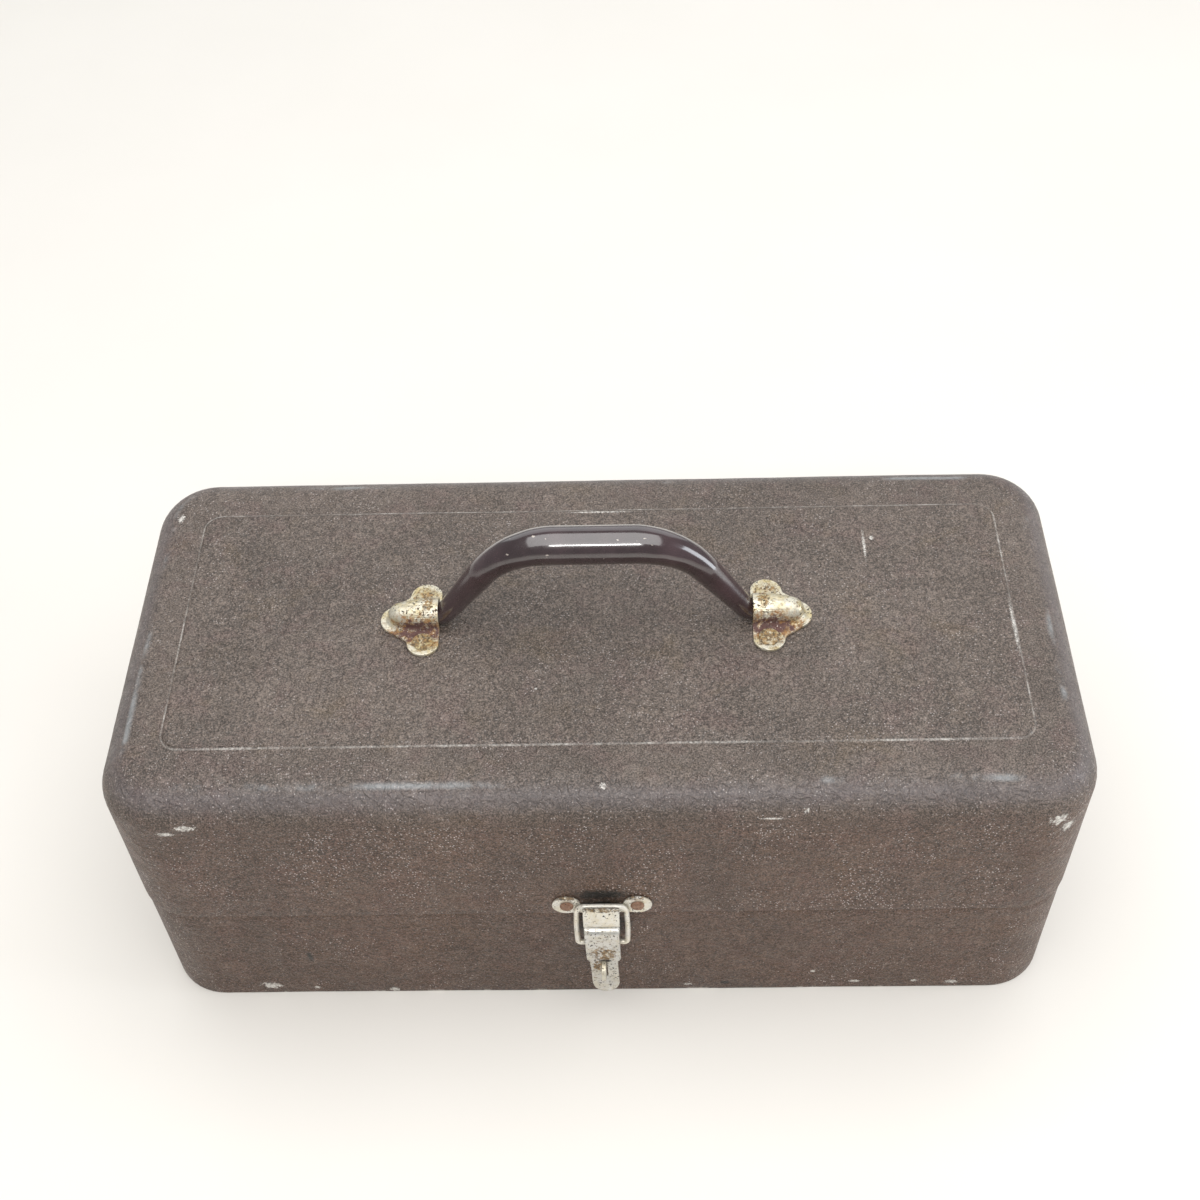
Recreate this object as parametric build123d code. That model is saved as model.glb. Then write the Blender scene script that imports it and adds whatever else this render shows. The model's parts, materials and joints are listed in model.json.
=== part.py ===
from build123d import *
from math import cos, hypot, radians, sin, tan
import os

# A hand toolbox in sheet steel: a deep drawn lid on a shallow base, hinged along the back, with a
# folding bail handle on top, a toggle latch in front and one tray that swings up with the lid.
# Origin: centre of the underside. +X right, +Y to the back, +Z up. Millimetres.

# case
LENGTH = 330.2
DEPTH = 152.4
HEIGHT = 127.0
SEAM_Z = 58.4
CORNER_R = 22.0
TOP_R = 14.0
SHEET = 1.0
BASE_INSET = 0.5
SEAM_GAP = 0.3
RIM_LOW_Z = 46.0
RIM_HIGH_Z = 62.4
FRONT_Y = -DEPTH / 2
BACK_Y = DEPTH / 2
BASE_WALL_INNER = BASE_INSET + SHEET

# raised panel pressed into the lid, and the stiffening bead pressed into the bottom
PANEL_LENGTH = 288.5
PANEL_DEPTH = 105.0
PANEL_R = 6.5
PANEL_RISE = 0.8
PANEL_STEP = 1.0
PANEL_TOP_Z = HEIGHT + PANEL_RISE
BEAD_LENGTH = 270.0
BEAD_DEPTH = 95.0
BEAD_R = 12.0
BEAD_WIDTH = 6.0
BEAD_RISE = 1.2
PAN_FLANGE = 8.0

# hinge along the back
HINGE_Y = 79.2
HINGE_LENGTH = 254.0
HINGE_KNUCKLES = 15
KNUCKLE_GAP = 0.4
KNUCKLE_R = 2.7
HINGE_PIN_R = 1.5
RUNNING = 0.05
LEAF_SHEET = 1.2
LEAF_HEIGHT = 13.0
LEAF_CLEAR = 2.6
HINGE_RIVETS_X = (-108.0, -65.0, -22.0, 22.0, 65.0, 108.0)
RIVET_R = 1.6

# handle and its two brackets
AXIS_Z = PANEL_TOP_Z + 4.2
GRIP_Z = 165.8
GRIP_R = 6.7
GRIP_STRAIGHT = 12.8
GRIP_BEND_R = 30.0
LEG_ANGLE = 55.0
KNEE_R = 5.1
FOOT_BEND_R = 4.0
JOURNAL_R = 3.9
JOURNAL_END_X = 66.0
BRACKET_X = 54.0
LOBE_X = 59.4
LOBE_Y = 10.3
LOBE_R = 5.6
FLANK_Y = 8.0
FLANK_R = 4.7
TIP_X = 68.7
TIP_R = 6.1
BRACKET_SHEET = 1.2
BARREL_R = 5.3
BARREL_END_X = 66.5
BARREL_BORE_R = 4.0
BARREL_FLARE = 1.2

# latch: distances p are measured outwards from the front of the lid
PIVOT_P, PIVOT_Z = 3.95, 54.0
TOGGLE_P, TOGGLE_Z = 3.3, 44.3
BAR_P, BAR_Z = 1.9, 66.4
WIRE_R = 0.95
LOOP_HALF = 8.8
LOOP_CORNER_R = 3.4
KEEPER_SHEET = 0.8
KEEPER_LOW_Z = 60.4
EAR_X, EAR_Z, EAR_R = 12.5, 65.2, 5.1
HOOK_HALF = 6.3
HOOK_FLOOR_Z = 64.4
LIP_P, LIP_Z = 5.0, 70.8
SKIRT_P, SKIRT_LOW_Z = 6.5, 60.8
LEVER_HALF = 6.3
LEVER_SHEET = 1.1
CURL_R = 3.3
SHOULDER_Z = 38.6
TONGUE_HALF = 5.05
TONGUE_TIP_Z = 16.0
SLOT_LOW_Z, SLOT_HIGH_Z, SLOT_WIDTH = 26.0, 37.4, 3.0
LATCH_PIN_R = 1.1
LUG_R = 2.05
LUG_X = 3.4
LUG_FOOT_LOW_Z, LUG_FOOT_HIGH_Z = 44.0, 49.5
BASE_PLATE_HALF = 4.9
BASE_PLATE_P = 0.4
BASE_PLATE_LOW_Z, BASE_PLATE_HIGH_Z = 20.0, 57.6
LATCH_RIVETS_Z = (24.0, 41.5)
STAPLE_SHEET = 1.6
STAPLE_LOW_Z, STAPLE_HIGH_Z = 28.5, 36.5
STAPLE_P = 12.0
STAPLE_EYE_P = 9.4
STAPLE_EYE_R = 1.8

# tray and the arms that keep it level: every link is parallel to the line from the hinge to LINK
LINK_Y, LINK_Z = -54.0, 18.0
ARM_FOOT_Y, ARM_FOOT_Z = 16.0, 53.0
TRAY_FRONT_Y, TRAY_BACK_Y = -68.0, 64.0
TRAY_LOW_Z, TRAY_HIGH_Z = 65.0, 93.0
TRAY_HALF = 158.5
TRAY_SHEET = 1.2
TRAY_R = 17.0
DIVIDER_SHEET = 0.8
DIVIDER_HEIGHT = 22.0
LONG_DIVIDER_Y = -14.0
CROSS_DIVIDERS_X = (-80.0, 0.0, 80.0)
ARM_LOW_X, ARM_SHEET, ARM_R = 159.6, 1.5, 6.0
STUD_R, STUD_SHOULDER_R = 2.0, 3.5


def case_block(inset, low_z, high_z):
    """A block with the plan of the case, drawn in by an inset, between two heights."""
    plan = RectangleRounded(LENGTH - 2 * inset, DEPTH - 2 * inset, CORNER_R - inset)
    return Pos(0, 0, low_z) * extrude(plan, high_z - low_z)


def case_ring(inset, thickness, low_z, high_z):
    return case_block(inset, low_z, high_z) - case_block(inset + thickness, low_z, high_z)


def domed_block(inset):
    """The form of the lid, drawn in by an inset, with its rolled top edge."""
    block = case_block(inset, SEAM_Z, HEIGHT - inset)
    return fillet(block.edges().group_by(Axis.Z)[-1], TOP_R - inset)


def panel_block(drop):
    """The raised panel as a low frustum whose sides slope, lowered by a drop."""
    sunk = 0.4
    slope = PANEL_STEP / PANEL_RISE
    spread = 2 * (PANEL_RISE + sunk) * slope
    low = Pos(0, 0, HEIGHT - sunk - drop) * RectangleRounded(
        PANEL_LENGTH - 2 * PANEL_STEP + spread, PANEL_DEPTH - 2 * PANEL_STEP + spread, PANEL_R
    )
    high = Pos(0, 0, PANEL_TOP_Z - drop) * RectangleRounded(
        PANEL_LENGTH - 2 * PANEL_STEP, PANEL_DEPTH - 2 * PANEL_STEP, PANEL_R - PANEL_STEP
    )
    return loft([low, high])


def side(sketch, low_x, high_x):
    """A plate across X from a sketch drawn in (y, z)."""
    return extrude(Plane.YZ.offset(low_x) * sketch, high_x - low_x, dir=(1, 0, 0))


def out(p):
    """The y of a point that stands p in front of the lid."""
    return FRONT_Y - p


def disc(y, z, radius):
    return Pos(y, z) * Circle(radius)


def rod_x(y, z, radius, low_x, high_x):
    return side(disc(y, z, radius), low_x, high_x)


def rod_y(x, z, radius, low_y, high_y):
    return Pos(x, low_y, z) * Rot(-90, 0, 0) * Cylinder(
        radius, high_y - low_y, align=(Align.CENTER, Align.CENTER, Align.MIN)
    )


def rod_z(x, y, radius, low_z, high_z):
    return Pos(x, y, low_z) * Cylinder(
        radius, high_z - low_z, align=(Align.CENTER, Align.CENTER, Align.MIN)
    )


def both_ends(piece):
    """A piece and its mirror image at the other end of the case."""
    return [piece, mirror(piece, Plane.YZ)]


def domed_rivet(length, head_r, head_height, tail_height):
    """A rivet on +Z: its head above zero, its shank down through the sheets, its tail below them."""
    head = Cylinder(head_r, head_height, align=(Align.CENTER, Align.CENTER, Align.MIN))
    head = fillet(head.edges().group_by(Axis.Z)[-1], head_height * 0.8)
    shank = rod_z(0, 0, RIVET_R, -length, 0)
    tail = rod_z(0, 0, RIVET_R * 1.6, -length - tail_height, -length)
    return head + shank + tail


def base_wall():
    """The wall of the base with its joggled rim, which the lid closes over."""
    lower = case_ring(BASE_INSET, SHEET, 0, SEAM_Z - SEAM_GAP)
    rim = case_ring(BASE_WALL_INNER, SHEET, RIM_LOW_Z, RIM_HIGH_Z)
    wall = lower + rim
    for x in HINGE_RIVETS_X:
        wall -= rod_y(x, hinge_rivet_z(-1), RIVET_R + RUNNING, BACK_Y - 6, BACK_Y + 2)
    for z in LATCH_RIVETS_Z:
        wall -= rod_y(0, z, RIVET_R + RUNNING, FRONT_Y - 2, FRONT_Y + 6)
    return wall


def base_bottom():
    """The bottom pan: a flat sheet with a flange turned up inside the wall and a pressed bead."""
    pan = case_block(BASE_WALL_INNER, 0, SHEET)
    pan += case_ring(BASE_WALL_INNER, SHEET, 0, PAN_FLANGE)
    bead = RectangleRounded(BEAD_LENGTH, BEAD_DEPTH, BEAD_R)
    bead -= RectangleRounded(BEAD_LENGTH - 2 * BEAD_WIDTH, BEAD_DEPTH - 2 * BEAD_WIDTH, BEAD_R / 2)
    groove = offset(bead, -SHEET)
    return pan + Pos(0, 0, SHEET) * extrude(bead, BEAD_RISE) - extrude(groove, BEAD_RISE)


def lid_shell():
    lid = domed_block(0) + panel_block(0)
    lid -= case_block(SHEET, SEAM_Z - 1, SEAM_Z + 1)
    lid -= domed_block(SHEET) + panel_block(SHEET)
    for x in HINGE_RIVETS_X:
        lid -= rod_y(x, hinge_rivet_z(1), RIVET_R + RUNNING, BACK_Y - 3, BACK_Y + 3)
    for x in (-EAR_X, EAR_X):
        lid -= rod_y(x, EAR_Z, RIVET_R + RUNNING, FRONT_Y - 3, FRONT_Y + 3)
    for x, y in bracket_rivet_places():
        lid -= rod_z(x, y, RIVET_R + RUNNING, HEIGHT - 3, HEIGHT + 3)
    return lid


def hinge_rivet_z(way):
    return SEAM_Z + way * (LEAF_CLEAR + LEAF_HEIGHT / 2)


def hinge_leaf(first, way, wall_y):
    """A leaf with every second knuckle. way is 1 for the lid's leaf and -1 for the base's."""
    near = SEAM_Z + way * LEAF_CLEAR
    far = near + way * LEAF_HEIGHT
    leaf = Pos(0, wall_y + LEAF_SHEET / 2, (near + far) / 2) * Box(HINGE_LENGTH, LEAF_SHEET, LEAF_HEIGHT)
    pitch = HINGE_LENGTH / HINGE_KNUCKLES
    neck_y = HINGE_Y - KNUCKLE_R
    for n in range(first, HINGE_KNUCKLES, 2):
        low_x = -HINGE_LENGTH / 2 + n * pitch + KNUCKLE_GAP / 2
        high_x = low_x + pitch - KNUCKLE_GAP
        neck = Pos(neck_y + LEAF_SHEET / 2, (SEAM_Z + near) / 2 + way * 0.5) * Rectangle(
            LEAF_SHEET, LEAF_CLEAR + 1
        )
        leaf += side(neck + disc(HINGE_Y, SEAM_Z, KNUCKLE_R), low_x, high_x)
    leaf -= rod_x(HINGE_Y, SEAM_Z, HINGE_PIN_R + RUNNING, -HINGE_LENGTH / 2 - 1, HINGE_LENGTH / 2 + 1)
    for x in HINGE_RIVETS_X:
        leaf -= rod_y(x, hinge_rivet_z(way), RIVET_R + RUNNING, wall_y - 1, wall_y + 3)
    return leaf


def hinge_pin():
    return rod_x(HINGE_Y, SEAM_Z, HINGE_PIN_R, -HINGE_LENGTH / 2, HINGE_LENGTH / 2)


def hinge_rivets(way, wall_y, sheets):
    rivet = Rot(-90, 0, 0) * domed_rivet(LEAF_SHEET + sheets, 2.8, 1.2, 0.9)
    return [Pos(x, wall_y + LEAF_SHEET, hinge_rivet_z(way)) * rivet for x in HINGE_RIVETS_X]


def bracket_outline():
    """Half trefoil: a straight inner edge, two side lobes and a tip with sloping flanks."""
    plan = make_hull(
        (disc(TIP_X, 0, TIP_R) + disc(LOBE_X, FLANK_Y, FLANK_R) + disc(LOBE_X, -FLANK_Y, FLANK_R)).edges()
    )
    plan += disc(LOBE_X, LOBE_Y, LOBE_R) + disc(LOBE_X, -LOBE_Y, LOBE_R)
    inner = Rectangle(LOBE_X - BRACKET_X, 2 * LOBE_Y, align=(Align.MIN, Align.CENTER))
    plan += Pos(BRACKET_X, 0) * inner
    trim = Pos(BRACKET_X, 0) * Rectangle(40, 40, align=(Align.MIN, Align.CENTER))
    plan = plan & trim
    hollow = [v for v in plan.vertices() if v.X > LOBE_X + 2 and abs(v.Y) > LOBE_Y - 3]
    return fillet(hollow, 2.0)


def barrel_plan(radius, low_x):
    """The plan of the barrel: straight sides from its mouth and a round nose."""
    length = BARREL_END_X - low_x
    plan = Pos(low_x, 0) * Rectangle(length, 2 * radius, align=(Align.MIN, Align.CENTER))
    return plan + Pos(BARREL_END_X, 0) * Circle(radius)


def barrel(radius, low_x, low_z):
    """An arch with a bullet nose, open below, round the handle's journal."""
    form = rod_x(0, AXIS_Z, radius, low_x, BARREL_END_X)
    form += Pos(BARREL_END_X, 0, AXIS_Z) * Sphere(radius)
    form += Pos(0, 0, low_z) * extrude(barrel_plan(radius, low_x), AXIS_Z - low_z)
    clip = Pos(BARREL_END_X, 0, low_z) * Box(60, 30, 30, align=(Align.CENTER, Align.CENTER, Align.MIN))
    return form & clip


def handle_bracket():
    """The right bracket: a trefoil plate with a pressed barrel over the handle's end."""
    root_z = PANEL_TOP_Z + BRACKET_SHEET
    plate = Pos(0, 0, PANEL_TOP_Z) * extrude(bracket_outline(), BRACKET_SHEET)
    flare = extrude(barrel_plan(BARREL_R + BARREL_FLARE, BRACKET_X - BARREL_FLARE), BARREL_FLARE, taper=45)
    flare = flare & (Pos(BRACKET_X, 0, 0) * Box(40, 40, 9, align=(Align.MIN, Align.CENTER, Align.MIN)))
    bracket = plate + barrel(BARREL_R, BRACKET_X, PANEL_TOP_Z) + Pos(0, 0, root_z) * flare
    bracket -= barrel(BARREL_BORE_R, BRACKET_X - 2, PANEL_TOP_Z - 1)
    for x, y in bracket_rivet_places():
        bracket -= rod_z(x, y, RIVET_R + RUNNING, PANEL_TOP_Z - 1, root_z + 1)
    return bracket


def bracket_rivet_places():
    return [(x, y) for x in (-LOBE_X, LOBE_X) for y in (-LOBE_Y, LOBE_Y)]


def bracket_rivets():
    rivet = domed_rivet(BRACKET_SHEET + SHEET, 3.7, 0.6, 0.8)
    return [Pos(x, y, PANEL_TOP_Z + BRACKET_SHEET) * rivet for x, y in bracket_rivet_places()]


def bend(centre_x, centre_z, bend_r, tube_r, start, sweep):
    """A piece of a ring in the XZ plane: start and sweep are degrees from +X towards +Z."""
    lying = revolve(Plane.XZ * (Pos(bend_r, 0) * Circle(tube_r)), Axis.Z, sweep)
    standing = Rot(90, 0, 0) * Rot(0, 0, start) * lying
    return Pos(centre_x, 0, centre_z) * standing


def handle_grip():
    """The bail: a thick straight grip, bent down to tapering legs and to a journal in each bracket."""
    angle = radians(LEG_ANGLE)
    knee_x = GRIP_STRAIGHT + GRIP_BEND_R * sin(angle)
    knee_z = GRIP_Z - GRIP_BEND_R * (1 - cos(angle))
    ankle_z = AXIS_Z + FOOT_BEND_R * (1 - cos(angle))
    ankle_x = knee_x + (knee_z - ankle_z) / tan(angle)
    foot_x = ankle_x + FOOT_BEND_R * sin(angle)
    straight = Line((0, 0, GRIP_Z), (GRIP_STRAIGHT, 0, GRIP_Z))
    knee = TangentArc((GRIP_STRAIGHT, 0, GRIP_Z), (knee_x, 0, knee_z), tangent=(1, 0, 0))
    leg = Line((knee_x, 0, knee_z), (ankle_x, 0, ankle_z))
    stations = ((straight, 0, GRIP_R), (knee, 0, GRIP_R), (leg, 0, KNEE_R), (leg, 1, JOURNAL_R))
    sections = [Plane(origin=line @ at, z_dir=line % at) * Circle(radius) for line, at, radius in stations]
    half = sweep(sections, path=straight + knee + leg, multisection=True)
    half += bend(foot_x, AXIS_Z + FOOT_BEND_R, FOOT_BEND_R, JOURNAL_R, 270 - LEG_ANGLE, LEG_ANGLE)
    half += rod_x(0, AXIS_Z, JOURNAL_R, foot_x, JOURNAL_END_X)
    return half + mirror(half, Plane.YZ)


def latch_keeper():
    """The keeper on the lid: two riveted ears and a wide hook in front of the bar, with a skirt."""
    ears = disc(EAR_X, EAR_Z, EAR_R) + disc(-EAR_X, EAR_Z, EAR_R)
    strip_high_z = HOOK_FLOOR_Z + KEEPER_SHEET
    strip = Rectangle(2 * EAR_X, strip_high_z - KEEPER_LOW_Z, align=(Align.CENTER, Align.MIN))
    plate = extrude(Plane.XZ.offset(-FRONT_Y) * (ears + Pos(0, KEEPER_LOW_Z) * strip), KEEPER_SHEET)
    floor_z = HOOK_FLOOR_Z + KEEPER_SHEET / 2
    lip_y = out(LIP_P + KEEPER_SHEET / 2)
    hook = FilletPolyline((out(0), floor_z), (lip_y, floor_z), (lip_y, LIP_Z), radius=1.6)
    skirt = ThreePointArc((lip_y, LIP_Z), (out(SKIRT_P - 0.2), floor_z + 1), (out(SKIRT_P), SKIRT_LOW_Z))
    folded = side(trace(hook, KEEPER_SHEET), -HOOK_HALF, HOOK_HALF)
    folded += side(trace(skirt, KEEPER_SHEET), -HOOK_HALF, HOOK_HALF)
    keeper = plate + folded
    for x in (-EAR_X, EAR_X):
        keeper -= rod_y(x, EAR_Z, RIVET_R + RUNNING, out(2), out(-1))
    return keeper


def keeper_rivets():
    rivet = Rot(90, 0, 0) * domed_rivet(KEEPER_SHEET + SHEET, 2.4, 1.0, 0.8)
    return [Pos(x, out(KEEPER_SHEET), EAR_Z) * rivet for x in (-EAR_X, EAR_X)]


def latch_base_plate():
    """The plate behind the lever, with the two sloping lugs that carry the lever's pin."""
    back_y = FRONT_Y + BASE_INSET
    plate = Pos(0, back_y, 0) * Box(
        2 * BASE_PLATE_HALF,
        BASE_PLATE_P + BASE_INSET,
        BASE_PLATE_HIGH_Z - BASE_PLATE_LOW_Z,
        align=(Align.CENTER, Align.MAX, Align.MIN),
    )
    plate = Pos(0, 0, BASE_PLATE_LOW_Z) * plate
    slope = radians(-65)
    across_y, across_z = -sin(slope) * 0.9, cos(slope) * 0.9
    lug = Polygon(
        (out(PIVOT_P) + across_y, PIVOT_Z + across_z),
        (out(PIVOT_P) - across_y, PIVOT_Z - across_z),
        (out(0), LUG_FOOT_LOW_Z),
        (out(0), LUG_FOOT_HIGH_Z),
        align=None,
    )
    lug = lug + disc(out(PIVOT_P), PIVOT_Z, LUG_R)
    for low_x in (-LUG_X - LEVER_SHEET, LUG_X):
        plate += side(lug, low_x, low_x + LEVER_SHEET)
    plate -= rod_x(out(PIVOT_P), PIVOT_Z, LATCH_PIN_R + RUNNING, -8, 8)
    for z in LATCH_RIVETS_Z:
        plate -= rod_y(0, z, RIVET_R + RUNNING, out(2), out(-2))
    return plate


def latch_base_rivets():
    rivet = Rot(90, 0, 0) * domed_rivet(BASE_PLATE_P + BASE_INSET + SHEET, 2.4, 0.9, 0.8)
    return [Pos(0, out(BASE_PLATE_P), z) * rivet for z in LATCH_RIVETS_Z]


def latch_pin():
    pin = rod_x(out(PIVOT_P), PIVOT_Z, LATCH_PIN_R, -LEVER_HALF - 0.2, LEVER_HALF + 0.2)
    for low_x in (-LEVER_HALF - 0.9, LEVER_HALF + 0.2):
        pin += rod_x(out(PIVOT_P), PIVOT_Z, LATCH_PIN_R + 0.6, low_x, low_x + 0.7)
    return pin


def padlock_staple():
    """The thin plate that stands out through the lever's slot, with an eye for a small padlock."""
    radius = (STAPLE_HIGH_Z - STAPLE_LOW_Z) / 2
    middle_z = (STAPLE_HIGH_Z + STAPLE_LOW_Z) / 2
    nose = disc(out(STAPLE_P - radius), middle_z, radius)
    root = Pos(out(BASE_PLATE_P), middle_z) * Rectangle(
        STAPLE_P - radius - BASE_PLATE_P, 2 * radius, align=(Align.MAX, Align.CENTER)
    )
    staple = side(nose + root, -STAPLE_SHEET / 2, STAPLE_SHEET / 2)
    return staple - rod_x(out(STAPLE_EYE_P), middle_z, STAPLE_EYE_R, -2, 2)


def lever_front():
    """The lever seen from the front: a wide body, sloping shoulders and a round-ended tongue."""
    front = Polygon(
        (-LEVER_HALF, 60), (-LEVER_HALF, SHOULDER_Z), (-TONGUE_HALF, SHOULDER_Z - 2),
        (-TONGUE_HALF, TONGUE_TIP_Z + TONGUE_HALF), (TONGUE_HALF, TONGUE_TIP_Z + TONGUE_HALF),
        (TONGUE_HALF, SHOULDER_Z - 2), (LEVER_HALF, SHOULDER_Z), (LEVER_HALF, 60),
        align=None,
    )
    front += disc(0, TONGUE_TIP_Z + TONGUE_HALF, TONGUE_HALF)
    slot = Pos(0, (SLOT_LOW_Z + SLOT_HIGH_Z) / 2) * Rectangle(SLOT_WIDTH, SLOT_HIGH_Z - SLOT_LOW_Z)
    return front - slot


def latch_lever():
    """A channel that curls over its pin, with its tongue hanging down in front of the base."""
    middle_r = CURL_R - LEVER_SHEET / 2
    curl = CenterArc((out(PIVOT_P), PIVOT_Z), middle_r, 60, 120)
    strip = Line((out(PIVOT_P) - middle_r, PIVOT_Z), (out(PIVOT_P) - middle_r, TONGUE_TIP_Z + 4))
    tip = Line(strip @ 1, strip @ 1 + Vector(-0.9, -4.5))
    web = side(trace(curl + strip + tip, LEVER_SHEET), -LEVER_HALF, LEVER_HALF)
    web = web & extrude(Plane.XZ.offset(-FRONT_Y - 5) * lever_front(), 20)
    flange = make_hull(
        (disc(out(PIVOT_P), PIVOT_Z, CURL_R) + disc(out(TOGGLE_P + 1.4), TOGGLE_Z - 1.2, 2.5)).edges()
    )
    flange += make_hull(
        (disc(out(PIVOT_P), PIVOT_Z, CURL_R) + disc(out(TOGGLE_P), TOGGLE_Z, 2.3)).edges()
    )
    for low_x in (-LEVER_HALF, LEVER_HALF - LEVER_SHEET):
        web += side(flange, low_x, low_x + LEVER_SHEET)
    web -= rod_x(out(PIVOT_P), PIVOT_Z, LATCH_PIN_R + 0.07, -9, 9)
    return web - rod_x(out(TOGGLE_P), TOGGLE_Z, WIRE_R + 0.07, -9, 9)


def latch_loop():
    """A wire loop: a bar behind the hook, two arms down, and ends turned in to the lever's sides."""
    end_x = LEVER_HALF - LEVER_SHEET - 0.2
    dy, dz = BAR_P - TOGGLE_P, BAR_Z - TOGGLE_Z
    plane = Plane(origin=(0, out(TOGGLE_P), TOGGLE_Z), x_dir=(1, 0, 0), z_dir=(0, -dz, -dy))
    height = hypot(dy, dz)
    path = FilletPolyline(
        (end_x, 0), (LOOP_HALF, 0), (LOOP_HALF, height), (-LOOP_HALF, height), (-LOOP_HALF, 0), (-end_x, 0),
        radius=[1.3, LOOP_CORNER_R, LOOP_CORNER_R, 1.3],
    )
    wire = plane * path
    return sweep(Plane(origin=wire @ 0, z_dir=wire % 0) * Circle(WIRE_R), path=wire)


def tray_plan(inset):
    return RectangleRounded(2 * (TRAY_HALF - inset), TRAY_BACK_Y - TRAY_FRONT_Y - 2 * inset, TRAY_R - inset)


def tray_pan():
    middle_y = (TRAY_FRONT_Y + TRAY_BACK_Y) / 2
    pan = extrude(tray_plan(0), TRAY_HIGH_Z - TRAY_LOW_Z)
    pan -= Pos(0, 0, TRAY_SHEET) * extrude(tray_plan(TRAY_SHEET), TRAY_HIGH_Z - TRAY_LOW_Z)
    pan = Pos(0, middle_y, TRAY_LOW_Z) * pan
    link_y, link_z = HINGE_Y + LINK_Y, SEAM_Z + LINK_Z
    pan -= rod_x(link_y, link_z, STUD_R + RUNNING, -TRAY_HALF - 1, TRAY_HALF + 1)
    return pan - rod_x(ARM_FOOT_Y + LINK_Y, ARM_FOOT_Z + LINK_Z, STUD_R, -TRAY_HALF - 1, TRAY_HALF + 1)


def long_divider():
    return Pos(0, LONG_DIVIDER_Y, TRAY_LOW_Z + TRAY_SHEET) * Box(
        2 * (TRAY_HALF - TRAY_SHEET), DIVIDER_SHEET, DIVIDER_HEIGHT,
        align=(Align.CENTER, Align.MIN, Align.MIN),
    )


def cross_divider(x):
    front_y = LONG_DIVIDER_Y + DIVIDER_SHEET
    depth = TRAY_BACK_Y - TRAY_SHEET - front_y
    return Pos(x, front_y, TRAY_LOW_Z + TRAY_SHEET) * Box(
        DIVIDER_SHEET, depth, DIVIDER_HEIGHT, align=(Align.CENTER, Align.MIN, Align.MIN)
    )


def tray_arm():
    """The right arm, from its foot on the base to its pivot on the tray."""
    head_y, head_z = ARM_FOOT_Y + LINK_Y, ARM_FOOT_Z + LINK_Z
    ends = disc(ARM_FOOT_Y, ARM_FOOT_Z, ARM_R) + disc(head_y, head_z, ARM_R)
    arm = side(make_hull(ends.edges()), ARM_LOW_X, ARM_LOW_X + ARM_SHEET)
    arm -= rod_x(ARM_FOOT_Y, ARM_FOOT_Z, STUD_R + RUNNING, ARM_LOW_X - 1, ARM_LOW_X + 3)
    return arm - rod_x(head_y, head_z, STUD_R + 2 * RUNNING, ARM_LOW_X - 1, ARM_LOW_X + 3)


def stud_on_lid():
    """A shouldered stud from the lid's end wall through the tray's end wall."""
    y, z = HINGE_Y + LINK_Y, SEAM_Z + LINK_Z
    stud = rod_x(y, z, STUD_SHOULDER_R, TRAY_HALF + 0.3, LENGTH / 2 - SHEET)
    stud += rod_x(y, z, STUD_R, TRAY_HALF - TRAY_SHEET - 0.2, TRAY_HALF + 0.3)
    low_x = TRAY_HALF - TRAY_SHEET - 1.2
    return stud + rod_x(y, z, STUD_SHOULDER_R, low_x, low_x + 1.0)


def stud_on_base():
    """A stud from the rim of the base through the foot of the arm."""
    wall_x = LENGTH / 2 - BASE_WALL_INNER - SHEET
    stud = rod_x(ARM_FOOT_Y, ARM_FOOT_Z, STUD_SHOULDER_R, ARM_LOW_X + ARM_SHEET + 0.2, wall_x)
    stud += rod_x(ARM_FOOT_Y, ARM_FOOT_Z, STUD_R, ARM_LOW_X - 0.2, ARM_LOW_X + ARM_SHEET + 0.2)
    return stud + rod_x(ARM_FOOT_Y, ARM_FOOT_Z, STUD_SHOULDER_R, ARM_LOW_X - 1.0, ARM_LOW_X - 0.2)


def rivet_on_tray():
    """The rivet in the tray's end wall that the arm's upper end turns on."""
    y, z = ARM_FOOT_Y + LINK_Y, ARM_FOOT_Z + LINK_Z
    rivet = rod_x(y, z, STUD_R, TRAY_HALF - TRAY_SHEET, ARM_LOW_X + ARM_SHEET + 0.2)
    rivet += rod_x(y, z, STUD_SHOULDER_R, TRAY_HALF, ARM_LOW_X - 0.2)
    low_x = ARM_LOW_X + ARM_SHEET + 0.2
    rivet += rod_x(y, z, STUD_SHOULDER_R, low_x, low_x + 0.8)
    return rivet + rod_x(y, z, STUD_SHOULDER_R, TRAY_HALF - TRAY_SHEET - 0.8, TRAY_HALF - TRAY_SHEET)


def group(solids):
    return Compound(children=[s for shape in solids for s in shape.solids()])


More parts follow.
